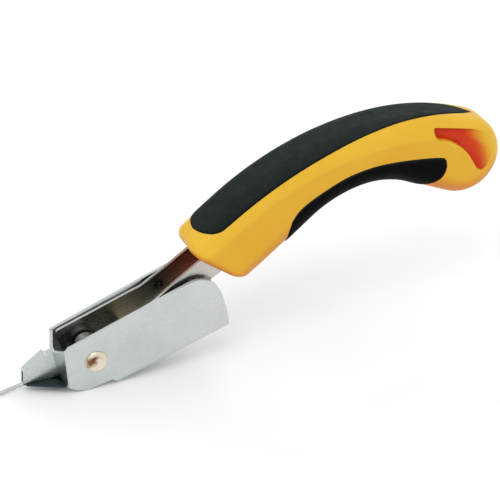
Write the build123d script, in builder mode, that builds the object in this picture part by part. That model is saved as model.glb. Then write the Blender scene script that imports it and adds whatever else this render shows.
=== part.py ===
from build123d import *
import math
import os

# Lever-type staple remover, standing in its working pose: the blade tip and the heel of the jaw
# housing rest on Z = 0 and the handle rises towards +X. The near side is -Y. All profiles are
# drawn in the side plane, whose own x runs rearwards along the flat base and whose own y runs up
# from it, with the pivot at (0, 0). Millimetres and degrees.

os.makedirs("parts", exist_ok=True)

# ---- Pose ----
WORKING_TILT = 17.9          # the flat base leans back by this much
PIVOT_X = -58.83
PIVOT_Z = 10.573

# ---- Jaw housing ----
BODY_SHEET = 1.2
BODY_HALF_WIDTH = 8.2
BODY_INNER_HALF = BODY_HALF_WIDTH - BODY_SHEET
BASE_DEPTH = 12.5            # flat base below the pivot
HEEL_X = 4.3
REAR_RADIUS = 47.8           # rear edge is an arc about the pivot
REAR_TOP = 11.4
TOP_CORNER_RADIUS = 8.5
BEND_RADIUS = 1.5
FRONT_LOW = (-12.0, -4.6)
FRONT_HIGH = (-8.6, 9.0)
NOSE_SLOT_HALF = 0.85        # the blade rises inside this slot
NOSE_WALL = 0.6              # the sheet is thinned where it is drawn out into the nose
NOSE_HALF = NOSE_SLOT_HALF + NOSE_WALL
NOSE_OUTLINE = [(-24.9, -0.2), (-23.0, 4.9), (-14.5, 7.8), (-13.9, 6.5), (-10.6, 6.5),
                (-12.0, -2.7), (-13.0, -2.7), (-19.6, -2.4)]
NOSE_HOLLOW = [(-40.0, -20.0), (-40.0, 4.5), (-22.6, 4.3), (-14.4, 5.9), (-8.0, 5.9), (-8.0, -20.0)]
FOLD_LOW = (-13.1, -2.7)     # where the folded front meets the nose
FOLD_HIGH = (-11.9, 6.5)
WEB_TIP = (-24.2, -0.9)      # flat webs close the front from below
WEB_LENGTH = 13.0
WEB_TIP_HALF = 1.7
WEB_REAR_HALF = 8.0
WEB_SHEET = 0.8
HEEL_LEDGE = (2.4, -9.9)
CHIN_REAR = (-5.0, -9.4)
CHIN_MIDDLE = (-9.2, -7.6)
BROW_REAR = (30.0, 11.0)

# ---- Lever and blade ----
LEVER_SHEET = 1.2
LEVER_HALF_FRONT = 6.6
LEVER_HALF_REAR = 5.6
LEVER_FRONT_X = -7.8
LEVER_KNEE = (25.0, 9.6)     # the walls turn up towards the handle here
LEVER_REAR_X = 86.0
LEVER_REAR_TOP = 27.6
FLOOR_START_X = 14.0
FLOOR_AT_PIVOT = -4.6        # underside of the channel floor, at the pivot and per mm rearwards
FLOOR_SLOPE = 0.2458
LEVER_FRONT_TOP = 8.6
LEVER_CORNER_RADIUS = 1.6
LEVER_KNEE_RADIUS = 12.0
LEVER_CHIN_RADIUS = 2.5
TAPER_FROM_X = 20.0
TAPER_TO_X = 36.0
SMALL_HOLE_AT = (30.6, 7.3)
SMALL_HOLE_RADIUS = 1.2
FIT_GAP = 0.1
BLADE_HALF = 0.5
BLADE_LOW = [(-33.3, -0.35), (-25.0, -1.2), (-20.4, -2.8), (-12.4, -6.8), (-7.0, -7.2), (2.4, -3.68)]
BLADE_EYE = [(2.4, -3.68), (4.39, 0.0), (0.0, 4.39)]
BLADE_HIGH = [(0.0, 4.39), (-6.5, 3.2), (-12.5, 0.0), (-16.0, -0.6), (-22.0, -0.4), (-25.0, -0.1),
              (-33.3, 0.75), (-33.3, -0.35)]
BLADE_PIN_AT = (-5.4, -2.0)
BLADE_PIN_RADIUS = 1.25

# ---- Pivot and spring ----
PIVOT_RADIUS = 2.0
RUNNING_GAP = 0.06
RIVET_HEAD_RADIUS = 3.95
RIVET_HEAD_HEIGHT = 0.9
SLEEVE_RADIUS = 2.7
WASHER_THICKNESS = 0.3
WASHER_RADIUS = 4.5
WIRE_RADIUS = 0.45
COIL_RADIUS = 3.5
COIL_PITCH = 1.0
BODY_LEG_END = (17.0, -10.75)
LEVER_LEG_END = (19.0, -1.35)
COIL_TURNS = 2
COIL_START = 1.6             # last turn, measured from the mid-plane

# ---- Handle ----
HANDLE_HALF_WIDTH = 10.5
HANDLE_EDGE_RADIUS = 7.6
HANDLE_WALL = 3.0
BULB_CENTRE = (145.0, 4.2)
BULB_RADIUS = 14.2
BULB_FROM = 56.0             # the bulb's arc starts and ends at these angles
BULB_TO = 223.0
TOP_LINE_SLOPE = 21.0        # direction of the top line at the handle's front
FRONT_HIGH_POINT = (37.5, 28.4)
FRONT_LOW_POINT = (56.6, 1.2)
CAVITY_END_X = 132.0
GRIP_DEPTH = 1.6
RIB_AT_X = [58.0, 70.0, 84.0, 98.0, 116.0]
RIB_THICKNESS = 2.0
SCREWS_AT = [(62.0, 16.2), (78.0, 21.0), (108.0, 27.2), (140.6, 4.6)]
SCREW_NAMES = ["screw_front", "screw_tang", "screw_middle", "screw_rear"]
BOSS_RADIUS = 2.4
SCREW_RADIUS = 1.1
SCREW_HOLE_RADIUS = 1.3
SCREW_HEAD_RADIUS = 2.2
SCREW_HEAD_HEIGHT = 1.6
CROSS_LENGTH = 2.4
CROSS_WIDTH = 0.6
CROSS_DEPTH = 0.9
SCREW_HEAD_OUT = HANDLE_HALF_WIDTH - 0.5
SCREW_TIP = -6.0
RECESS_DEPTH = 2.8
RECESS_START_X = 136.5
RECESS_RAMP = 0.14           # its floor comes out by this much per mm rearwards
RECESS_LOW = [(135.5, 18.6), (139.4, 16.0), (142.4, 12.2), (144.6, 7.6), (146.0, -0.4)]
RECESS_HIGH = [(150.6, -0.4), (154.6, 5.0), (153.4, 11.0), (149.4, 14.6), (143.5, 18.6), (135.4, 23.6)]
GRIP_TOP_SIDE = [(57.8, 8.5), (96.0, 8.4), (125.0, 6.5), (153.5, 0.0)]
GRIP_TOP_FRONT = (47.8, 0.0)
GRIP_LOW_FRONT = [(74.0, 4.0), (76.6, 13.5), (81.0, 18.6), (98.6, 22.6), (113.5, 21.0), (134.6, 12.2)]
GRIP_LOW_CORNER = [(134.6, 12.2), (136.2, 11.2), (136.5, 9.4)]
GRIP_LOW_REAR = [(136.5, 9.4), (134.3, 5.0), (129.6, 2.9), (124.0, 3.4)]
GRIP_LOW_UNDER = [(124.0, 3.4), (121.0, -4.0), (74.0, 4.0)]

# ---- Cutting blocks that reach well past the piece they cut ----
PAST_WIDTH = 20.0
PAST_HEIGHT = 80.0

tilt = math.radians(WORKING_TILT)
RUN = (math.cos(tilt), 0, math.sin(tilt))
RISE = (-math.sin(tilt), 0, math.cos(tilt))
PIVOT = (PIVOT_X, 0, PIVOT_Z)
SIDE = Plane(origin=PIVOT, x_dir=RUN, z_dir=(0, -1, 0))      # positive extrusion goes to -Y
TOP = Plane(origin=PIVOT, x_dir=RUN, z_dir=RISE)             # own y is the row's +Y
PIVOT_AXIS = Axis(PIVOT, (0, 1, 0))
MID_PLANE = Plane(origin=PIVOT, x_dir=RUN, z_dir=(0, 1, 0))


def save(built, name):
    built.part.label = name
    export_step(built.part, f"parts/{name}.step")


def floor_under(x):
    """Height of the lever floor's underside."""
    return FLOOR_AT_PIVOT + FLOOR_SLOPE * x


def side_at(x, up):
    """The side plane moved so that its origin is at a point of the side view."""
    return Plane(origin=SIDE.from_local_coords((x, up, 0)), x_dir=RUN, z_dir=(0, -1, 0))


# ================= Jaw housing: one folded and plated stamping =================
with BuildPart() as housing_hollow:
    with BuildSketch(SIDE):
        with BuildLine():
            floor_top = -BASE_DEPTH + BODY_SHEET
            Polyline((-20, 30), (60, 30), (60, floor_top), (HEEL_X, floor_top), (HEEL_X, -20),
                     (-20, -20), close=True)
        make_face()
    extrude(amount=BODY_INNER_HALF, both=True)

with BuildPart() as nose:
    with BuildSketch(SIDE):
        with BuildLine():
            Polyline(*NOSE_OUTLINE, close=True)
        make_face()
    extrude(amount=NOSE_HALF, both=True)
    with BuildSketch(SIDE):
        with BuildLine():
            Polyline(*NOSE_HOLLOW, close=True)
        make_face()
    extrude(amount=NOSE_SLOT_HALF, both=True, mode=Mode.SUBTRACT)


def strip(low, high, thickness):
    """Outline of a strip of sheet seen edge on, its thickness measured rearwards."""
    with BuildLine() as outline:
        Polyline(low, high, (high[0] + thickness, high[1]), (low[0] + thickness, low[1]), close=True)
    return outline.edges()


with BuildPart() as near_fold:
    with BuildSketch(SIDE.offset(BODY_HALF_WIDTH)):
        make_face(strip(FRONT_LOW, FRONT_HIGH, BODY_SHEET))
    with BuildSketch(SIDE.offset(NOSE_SLOT_HALF)):
        make_face(strip(FOLD_LOW, FOLD_HIGH, BODY_SHEET))
    loft(ruled=True)

# Level in the working pose, so it leans against the flat base.
WEB_PLANE = Plane(origin=SIDE.from_local_coords((WEB_TIP[0], WEB_TIP[1], 0)), x_dir=(1, 0, 0),
                  z_dir=(0, 0, 1))
with BuildPart() as near_web:
    with BuildSketch(WEB_PLANE):
        with BuildLine():
            Polyline((0, -NOSE_SLOT_HALF), (0, -WEB_TIP_HALF), (WEB_LENGTH, -WEB_REAR_HALF),
                     (WEB_LENGTH, -NOSE_SLOT_HALF), close=True)
        make_face()
    extrude(amount=WEB_SHEET)

with BuildPart() as jaw_housing:
    with BuildSketch(SIDE):
        with BuildLine():
            rear_low = (math.sqrt(REAR_RADIUS ** 2 - BASE_DEPTH ** 2), -BASE_DEPTH)
            rear_high = (math.sqrt(REAR_RADIUS ** 2 - REAR_TOP ** 2), REAR_TOP)
            Polyline(FRONT_LOW, FRONT_HIGH, BROW_REAR, rear_high)
            ThreePointArc(rear_high, (REAR_RADIUS, 0), rear_low)
            Polyline(rear_low, (HEEL_X, -BASE_DEPTH), HEEL_LEDGE, CHIN_REAR)
            ThreePointArc(CHIN_REAR, CHIN_MIDDLE, FRONT_LOW)
        make_face()
        fillet(vertices().sort_by_distance(rear_high)[0], radius=TOP_CORNER_RADIUS)
    extrude(amount=BODY_HALF_WIDTH, both=True)
    base_edges = [e for e in edges().filter_by(Axis(PIVOT, RUN))
                  if abs(SIDE.to_local_coords(e.center()).Y + BASE_DEPTH) < 0.01]
    fillet(base_edges, radius=BEND_RADIUS)
    add(housing_hollow.part, mode=Mode.SUBTRACT)
    add(near_fold.part)
    add(near_fold.part.mirror(MID_PLANE))
    add(nose.part)
    add(near_web.part)
    add(near_web.part.mirror(MID_PLANE))
    with BuildSketch(SIDE):
        Circle(PIVOT_RADIUS)
    extrude(amount=BODY_HALF_WIDTH, both=True, mode=Mode.SUBTRACT)

save(jaw_housing, "jaw_housing")


# ================= Lever: U-channel whose rear end is the tang in the handle =================
def lever_side(top_gap, floor_gap):
    """Side outline of the channel, with its top and its floor moved out by a gap."""
    with BuildLine() as outline:
        Polyline((LEVER_FRONT_X, floor_under(LEVER_FRONT_X) - floor_gap),
                 (LEVER_FRONT_X, LEVER_FRONT_TOP + top_gap),
                 (LEVER_KNEE[0], LEVER_KNEE[1] + top_gap),
                 (LEVER_REAR_X, LEVER_REAR_TOP + top_gap),
                 (LEVER_REAR_X, floor_under(LEVER_REAR_X) - floor_gap), close=True)
    return outline.edges()


def lever_plan(inset):
    """Plan outline of the channel, moved in by the sheet or out by a gap."""
    front = LEVER_HALF_FRONT - inset
    rear = LEVER_HALF_REAR - inset
    with BuildLine() as outline:
        Polyline((-30, -front), (TAPER_FROM_X, -front), (TAPER_TO_X, -rear), (120, -rear),
                 (120, rear), (TAPER_TO_X, rear), (TAPER_FROM_X, front), (-30, front), close=True)
    return outline.edges()


with BuildPart() as lever_envelope:
    with BuildSketch(SIDE):
        make_face(lever_side(FIT_GAP, FIT_GAP))
    extrude(amount=PAST_WIDTH, both=True)
    with BuildSketch(TOP):
        make_face(lever_plan(-FIT_GAP))
    extrude(amount=PAST_HEIGHT, both=True, mode=Mode.INTERSECT)

with BuildPart() as lever_hollow:
    with BuildSketch(SIDE):
        with BuildLine():
            Polyline((-20, 60), (120, 60), (120, floor_under(120) + LEVER_SHEET),
                     (FLOOR_START_X, floor_under(FLOOR_START_X) + LEVER_SHEET),
                     (FLOOR_START_X, -20), (-20, -20), close=True)
        make_face()
    extrude(amount=PAST_WIDTH, both=True)
    with BuildSketch(TOP):
        make_face(lever_plan(LEVER_SHEET))
    extrude(amount=PAST_HEIGHT, both=True, mode=Mode.INTERSECT)

with BuildPart() as lever:
    with BuildSketch(SIDE):
        make_face(lever_side(0.0, 0.0))
        front_top = (LEVER_FRONT_X, LEVER_FRONT_TOP)
        front_low = (LEVER_FRONT_X, floor_under(LEVER_FRONT_X))
        fillet(vertices().sort_by_distance(front_top)[0], radius=LEVER_CORNER_RADIUS)
        fillet(vertices().sort_by_distance(LEVER_KNEE)[0], radius=LEVER_KNEE_RADIUS)
        fillet(vertices().sort_by_distance(front_low)[0], radius=LEVER_CHIN_RADIUS)
    extrude(amount=PAST_WIDTH, both=True)
    with BuildSketch(TOP):
        make_face(lever_plan(0.0))
    extrude(amount=PAST_HEIGHT, both=True, mode=Mode.INTERSECT)
    add(lever_hollow.part, mode=Mode.SUBTRACT)
    with BuildSketch(SIDE):
        Circle(PIVOT_RADIUS + RUNNING_GAP)
        with Locations(BLADE_PIN_AT):
            Circle(BLADE_PIN_RADIUS)
        with Locations(SCREWS_AT[0], SCREWS_AT[1]):
            Circle(BOSS_RADIUS + FIT_GAP)
        with Locations(SMALL_HOLE_AT):
            Circle(SMALL_HOLE_RADIUS)
    extrude(amount=PAST_WIDTH, both=True, mode=Mode.SUBTRACT)

save(lever, "lever")

# ================= Blade: hardened plate in the mid-plane, with its thin lifting prong ==========
with BuildPart() as blade:
    with BuildSketch(SIDE):
        with BuildLine():
            Polyline(*BLADE_LOW)
            ThreePointArc(*BLADE_EYE)
            Polyline(*BLADE_HIGH)
        make_face()
        Circle(PIVOT_RADIUS + RUNNING_GAP, mode=Mode.SUBTRACT)
        with Locations(BLADE_PIN_AT):
            Circle(BLADE_PIN_RADIUS, mode=Mode.SUBTRACT)
    extrude(amount=BLADE_HALF, both=True)

save(blade, "blade")

with BuildPart() as blade_pin:
    with BuildSketch(side_at(*BLADE_PIN_AT)):
        Circle(BLADE_PIN_RADIUS)
    extrude(amount=LEVER_HALF_FRONT, both=True)
    chamfer(edges().filter_by(GeomType.CIRCLE), length=0.2)

save(blade_pin, "blade_pin")

# ================= Pivot: tubular rivet, two sleeves and two washers =================
with BuildPart() as pivot_rivet:
    with BuildSketch(TOP) as rivet_profile:
        with BuildLine():
            face_at = BODY_HALF_WIDTH
            head_at = BODY_HALF_WIDTH + RIVET_HEAD_HEIGHT
            Polyline((0, head_at - 0.2), (PIVOT_RADIUS, head_at), (RIVET_HEAD_RADIUS - 0.8, head_at))
            ThreePointArc((RIVET_HEAD_RADIUS - 0.8, head_at), (RIVET_HEAD_RADIUS - 0.2, head_at - 0.3),
                          (RIVET_HEAD_RADIUS, face_at))
            Polyline((RIVET_HEAD_RADIUS, face_at), (PIVOT_RADIUS, face_at),
                     (PIVOT_RADIUS, -face_at), (RIVET_HEAD_RADIUS, -face_at))
            ThreePointArc((RIVET_HEAD_RADIUS, -face_at), (RIVET_HEAD_RADIUS - 0.5, -head_at + 0.15),
                          (RIVET_HEAD_RADIUS - 1.3, -head_at))
            ThreePointArc((RIVET_HEAD_RADIUS - 1.3, -head_at), (1.6, -head_at + 0.35),
                          (1.2, -head_at + 0.9))
            Polyline((1.2, -head_at + 0.9), (1.1, -head_at + 2.6), (0, -head_at + 2.8),
                     (0, head_at - 0.2))
        make_face()
    revolve(axis=PIVOT_AXIS)

save(pivot_rivet, "pivot_rivet")


def save_ring(outer, inner, start, length, name):
    """A ring about the pivot that starts at a distance to the near side of the mid-plane."""
    with BuildPart() as ring:
        with BuildSketch(SIDE.offset(start)):
            Circle(outer)
            Circle(inner, mode=Mode.SUBTRACT)
        extrude(amount=length)
    save(ring, name)


sleeve_length = LEVER_HALF_FRONT - LEVER_SHEET - BLADE_HALF
sleeve_bore = PIVOT_RADIUS + RUNNING_GAP
washer_start = BODY_INNER_HALF - WASHER_THICKNESS
save_ring(SLEEVE_RADIUS, sleeve_bore, BLADE_HALF, sleeve_length, "sleeve_near")
save_ring(SLEEVE_RADIUS, sleeve_bore, -BLADE_HALF - sleeve_length, sleeve_length, "sleeve_far")
save_ring(WASHER_RADIUS, PIVOT_RADIUS, washer_start, WASHER_THICKNESS, "washer_near")
save_ring(WASHER_RADIUS, PIVOT_RADIUS, -BODY_INNER_HALF, WASHER_THICKNESS, "washer_far")

# ================= Return spring: torsion coil round the far sleeve =================
# Both legs run rearwards: the one from the top of the coil presses on the housing floor, the one
# from the bottom of the coil lifts the lever's floor.
def tangent_to_coil(target, upper):
    """Where a straight leg from a target point touches the coil's centre line."""
    distance = math.hypot(*target)
    heading = math.atan2(target[1], target[0])
    opening = math.acos(COIL_RADIUS / distance)
    turn = heading + opening if upper else heading - opening
    return (COIL_RADIUS * math.cos(turn), COIL_RADIUS * math.sin(turn))


body_leg_start = tangent_to_coil(BODY_LEG_END, True)
lever_leg_start = tangent_to_coil(LEVER_LEG_END, False)
body_leg_angle = math.degrees(math.atan2(body_leg_start[1], body_leg_start[0]))
lever_leg_angle = math.degrees(math.atan2(lever_leg_start[1], lever_leg_start[0]))
coil_sweep = COIL_TURNS * 360 + (lever_leg_angle - body_leg_angle) % 360
coil_rise = COIL_PITCH * coil_sweep / 360


def coil_point(share):
    """A point on the coil's centre line, from its outer end (0) to its inner end (1)."""
    angle = math.radians(body_leg_angle + coil_sweep * share)
    across = COIL_START + coil_rise * (1 - share)
    return SIDE.from_local_coords((COIL_RADIUS * math.cos(angle), COIL_RADIUS * math.sin(angle),
                                   -across))


def leg_point(end, share):
    across = COIL_START + coil_rise * (1 - share)
    return SIDE.from_local_coords((end[0], end[1], -across))


coil_arcs = round(coil_sweep / 90)
coil_knots = [coil_point(i / (2 * coil_arcs)) for i in range(2 * coil_arcs + 1)]

with BuildPart() as return_spring:
    with BuildLine() as spring_path:
        body_leg = Line(leg_point(BODY_LEG_END, 0), coil_point(0))
        for i in range(0, 2 * coil_arcs, 2):
            ThreePointArc(coil_knots[i], coil_knots[i + 1], coil_knots[i + 2])
        Line(coil_point(1), leg_point(LEVER_LEG_END, 1))
    with BuildSketch(Plane(body_leg @ 0, z_dir=body_leg % 0)):
        Circle(WIRE_RADIUS)
    sweep(path=spring_path.wires()[0])

save(return_spring, "return_spring")


# ================= Handle: two moulded half shells with soft grips =================
def bulb_point(angle):
    """A point of the bulb's circle in the side view."""
    turn = math.radians(angle)
    return (BULB_CENTRE[0] + BULB_RADIUS * math.cos(turn), BULB_CENTRE[1] + BULB_RADIUS * math.sin(turn))


HANDLE_CORNERS = [(30.0, 18.6), (60.0, 29.5), (90.0, 35.3), (122.0, 31.9), bulb_point(BULB_FROM),
                  bulb_point(BULB_TO), (122.0, 6.0), (104.0, 14.0), (86.0, 11.4), (50.0, -1.5)]


def handle_outline():
    """Side outline of the whole handle: a chain of tangent arcs closed by the slanted front."""
    heading = Vector(1, 0).rotate(Axis.Z, TOP_LINE_SLOPE)
    with BuildLine() as outline:
        for start, end in zip(HANDLE_CORNERS, HANDLE_CORNERS[1:]):
            arc = TangentArc(start, end, tangent=heading)
            heading = arc % 1
        Line(HANDLE_CORNERS[-1], HANDLE_CORNERS[0])
    return outline.edges()


def handle_core(inset):
    """The handle's full form, moved in by an inset on every side."""
    with BuildPart() as core:
        with BuildSketch(SIDE):
            make_face(handle_outline())
            if inset:
                offset(amount=-inset)
        extrude(amount=HANDLE_HALF_WIDTH - inset, both=True)
        rims = core.faces().filter_by(Axis(PIVOT, (0, 1, 0))).edges()
        fillet(rims, radius=HANDLE_EDGE_RADIUS - inset)
    return core.part


def side_block(outline, half_width=30.0):
    """A block across the whole tool from a closed outline in the side view."""
    with BuildPart() as block:
        with BuildSketch(SIDE):
            make_face(outline)
        extrude(amount=half_width, both=True)
    return block.part


with BuildLine() as front_region:
    Polyline((20, 50), FRONT_HIGH_POINT, FRONT_LOW_POINT, (FRONT_LOW_POINT[0], -20), (20, -20),
             close=True)
front_cut = side_block(front_region.edges())

handle_form = handle_core(0.0)
grip_core = handle_core(GRIP_DEPTH)

with BuildPart() as handle_blank:
    add(handle_form)
    add(front_cut, mode=Mode.SUBTRACT)

# ---- Soft grips: the outer layer of the handle inside two regions ----
with BuildLine() as above_middle:
    Polyline((40, 12), (100, 26), (130, 18), (160, 0), (180, 0), (180, 60), (40, 60), close=True)
upper_half = side_block(above_middle.edges())

with BuildPart() as grip_top:
    with BuildSketch(TOP):
        with BuildLine():
            near_side = [(x, -y) for x, y in GRIP_TOP_SIDE]
            far_side = GRIP_TOP_SIDE[::-1]
            Spline(near_side, tangents=[(1, 0), (0.3, 1)])
            Spline(far_side, tangents=[(-0.3, 1), (-1, 0)])
            ThreePointArc(far_side[-1], GRIP_TOP_FRONT, near_side[0])
        make_face()
    extrude(amount=60)
    add(upper_half, mode=Mode.INTERSECT)
    add(handle_form, mode=Mode.INTERSECT)
    add(grip_core, mode=Mode.SUBTRACT)

with BuildPart() as grip_bottom:
    with BuildSketch(SIDE):
        with BuildLine():
            Spline(GRIP_LOW_FRONT, tangents=[(0.1, 1), (0.88, -0.47)])
            ThreePointArc(*GRIP_LOW_CORNER)
            Spline(GRIP_LOW_REAR, tangents=[(-0.1, -1), (-1, 0.25)])
            Polyline(*GRIP_LOW_UNDER)
        make_face()
    extrude(amount=30, both=True)
    add(handle_form, mode=Mode.INTERSECT)
    add(grip_core, mode=Mode.SUBTRACT)

save(grip_top, "grip_top")
save(grip_bottom, "grip_bottom")

# ---- Inside: cavity with cross ribs that hold the tang ----
with BuildPart() as cavity:
    add(handle_core(HANDLE_WALL))
    for rib_x in RIB_AT_X:
        with BuildSketch(side_at(rib_x, 0)):
            Rectangle(RIB_THICKNESS, 160)
        extrude(amount=30, both=True, mode=Mode.SUBTRACT)
    with BuildSketch(side_at(CAVITY_END_X + 50, 0)):
        Rectangle(100, 160)
    extrude(amount=30, both=True, mode=Mode.SUBTRACT)
    add(front_cut, mode=Mode.SUBTRACT)

# ---- Sculpted blind recess on each flank of the bulb; its floor ramps out to the rear ----
with BuildPart() as near_recess:
    with BuildSketch(SIDE):
        with BuildLine():
            Line(RECESS_HIGH[-1], RECESS_LOW[0])
            Spline(RECESS_LOW)
            Line(RECESS_LOW[-1], RECESS_HIGH[0])
            Spline(RECESS_HIGH)
        make_face()
    extrude(amount=20)
    ramp_dir = Vector(*RUN) + Vector(0, -1, 0) * RECESS_RAMP
    ramp_start = SIDE.from_local_coords((RECESS_START_X, 0, HANDLE_HALF_WIDTH - RECESS_DEPTH))
    ramp = Plane(origin=ramp_start, x_dir=ramp_dir, z_dir=ramp_dir.cross(Vector(*RISE)))
    split(bisect_by=ramp, keep=Keep.TOP)

with BuildPart() as handle_shells:
    add(handle_blank.part)
    add(cavity.part, mode=Mode.SUBTRACT)
    add(lever_envelope.part, mode=Mode.SUBTRACT)
    for boss_at in SCREWS_AT[:3]:
        with BuildSketch(side_at(*boss_at)):
            Circle(BOSS_RADIUS)
        extrude(amount=HANDLE_HALF_WIDTH - HANDLE_WALL + 0.5, both=True)
    for screw_at in SCREWS_AT:
        with BuildSketch(side_at(*screw_at)):
            Circle(SCREW_RADIUS)
        extrude(amount=-SCREW_TIP + 0.4, mode=Mode.SUBTRACT)
        with BuildSketch(side_at(*screw_at)):
            Circle(SCREW_HOLE_RADIUS)
        extrude(amount=-PAST_WIDTH, mode=Mode.SUBTRACT)
        with BuildSketch(side_at(*screw_at).offset(-(SCREW_HEAD_OUT - SCREW_HEAD_HEIGHT))):
            Circle(SCREW_HEAD_RADIUS + FIT_GAP)
        extrude(amount=-PAST_WIDTH, mode=Mode.SUBTRACT)
    add(near_recess.part, mode=Mode.SUBTRACT)
    add(near_recess.part.mirror(MID_PLANE), mode=Mode.SUBTRACT)
    add(grip_top.part, mode=Mode.SUBTRACT)
    add(grip_bottom.part, mode=Mode.SUBTRACT)

with BuildPart() as handle_shell_near:
    add(handle_shells.part)
    split(bisect_by=SIDE, keep=Keep.TOP)
with BuildPart() as handle_shell_far:
    add(handle_shells.part)
    split(bisect_by=SIDE, keep=Keep.BOTTOM)

save(handle_shell_near, "handle_shell_near")
save(handle_shell_far, "handle_shell_far")

# ---- Screws, driven from the far side ----
for screw_name, screw_at in zip(SCREW_NAMES, SCREWS_AT):
    with BuildPart() as screw:
        with BuildSketch(side_at(*screw_at).offset(-SCREW_HEAD_OUT)):
            Circle(SCREW_HEAD_RADIUS)
        extrude(amount=SCREW_HEAD_HEIGHT)
        with BuildSketch(side_at(*screw_at).offset(-SCREW_HEAD_OUT)):
            Circle(SCREW_RADIUS)
        extrude(amount=SCREW_HEAD_OUT - SCREW_TIP)
        with BuildSketch(side_at(*screw_at).offset(-SCREW_HEAD_OUT)):
            Rectangle(CROSS_LENGTH, CROSS_WIDTH)
            Rectangle(CROSS_WIDTH, CROSS_LENGTH)
        extrude(amount=CROSS_DEPTH, mode=Mode.SUBTRACT)
    save(screw, screw_name)
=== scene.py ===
import math

import bmesh
import bpy
import numpy as np
from mathutils import Matrix, Vector
from mathutils.geometry import delaunay_2d_cdt


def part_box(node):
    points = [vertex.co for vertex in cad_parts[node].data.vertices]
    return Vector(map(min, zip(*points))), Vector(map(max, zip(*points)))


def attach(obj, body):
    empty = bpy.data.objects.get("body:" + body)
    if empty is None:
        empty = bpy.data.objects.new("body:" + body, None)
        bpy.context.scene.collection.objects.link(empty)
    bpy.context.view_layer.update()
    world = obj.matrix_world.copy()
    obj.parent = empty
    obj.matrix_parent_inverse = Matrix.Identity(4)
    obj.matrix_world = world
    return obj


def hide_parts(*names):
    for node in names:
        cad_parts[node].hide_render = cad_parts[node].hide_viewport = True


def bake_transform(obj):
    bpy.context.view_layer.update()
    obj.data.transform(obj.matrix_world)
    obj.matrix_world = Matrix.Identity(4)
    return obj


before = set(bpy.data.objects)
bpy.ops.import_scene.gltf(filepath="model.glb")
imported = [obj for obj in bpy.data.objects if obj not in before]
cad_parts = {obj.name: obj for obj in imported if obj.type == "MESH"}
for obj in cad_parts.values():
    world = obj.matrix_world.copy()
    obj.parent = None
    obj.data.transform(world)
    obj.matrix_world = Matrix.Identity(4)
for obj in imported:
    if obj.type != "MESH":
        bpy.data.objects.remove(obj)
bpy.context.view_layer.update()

# Everything below is in millimetres in the tool's side frame, x rearwards along the flat base,
# z up from it, the pivot at (0, 0), and y across, until to_row() turns it into the row frame.
MM = 0.001
TILT = math.radians(17.9)
PIVOT_LOW, PIVOT_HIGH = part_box("pivot_rivet")
PIVOT = (PIVOT_LOW + PIVOT_HIGH) / 2
PIVOT.y = 0

# ---- Handle ----
HALF_WIDTH = 10.5
EDGE_RADIUS = 7.6
BAND = HALF_WIDTH - EDGE_RADIUS          # half of the flat crown between the two rounded edges
BULB_CENTRE = (145.0, 4.2)
BULB_RADIUS = 14.2
TOP_LINE_SLOPE = 21.0
FRONT_FROM = np.array((37.5, 28.4))
FRONT_TO = np.array((56.6, 1.2))
SCREWS_AT = [(62.0, 16.2), (78.0, 21.0), (108.0, 27.2), (140.6, 4.6)]
SCREW_NAMES = ["screw_front", "screw_tang", "screw_middle", "screw_rear"]


def bulb_point(degrees):
    a = math.radians(degrees)
    return (BULB_CENTRE[0] + BULB_RADIUS * math.cos(a), BULB_CENTRE[1] + BULB_RADIUS * math.sin(a))


OUTLINE = [(30.0, 18.6), (60.0, 29.5), (90.0, 35.3), (122.0, 31.9), bulb_point(56), bulb_point(223),
           (122.0, 6.0), (104.0, 14.0), (86.0, 11.4), (50.0, -1.5)]
BULB_ARC = 4                             # number of the outline's arc that goes round the bulb

# ---- Lever, rivet and pin ----
LEVER_HALF = 6.6
LEVER_INNER_HALF = 5.4
SMALL_HOLE_AT = (30.6, 7.3)
PLATE_HALF = 8.2
PLATE_INNER_HALF = 7.0
RIVET_RADIUS = 2.0
RIVET_HEAD = 3.93
BLADE_HALF = 0.5
BLADE_PIN_AT = (-5.4, -2.0)
BLADE_PIN_RADIUS = 1.24
WEB_TOP = 3.1                            # height over the ground of the webs under the nose
WEB_REAR = -10.5                         # where the webs end, from the pivot along X

# ---- Meshing, in metres ----
MERGE = 1e-7
SLIVER_LENGTH = 1e-8
SLIVER_AREA = 1e-8
LARGEST_GAP_SIDES = 12


# ================= Small tools =================
def to_row(points):
    """Side-frame millimetres to row-frame metres."""
    p = np.asarray(points, float).reshape(-1, 3)
    c, s = math.cos(TILT), math.sin(TILT)
    x = PIVOT.x + (p[:, 0] * c - p[:, 2] * s) * MM
    z = PIVOT.z + (p[:, 0] * s + p[:, 2] * c) * MM
    return np.stack([x, PIVOT.y + p[:, 1] * MM, z], 1)


def add_object(name, data):
    made = bpy.data.objects.new(name, data)
    bpy.context.scene.collection.objects.link(made)
    return made


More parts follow.
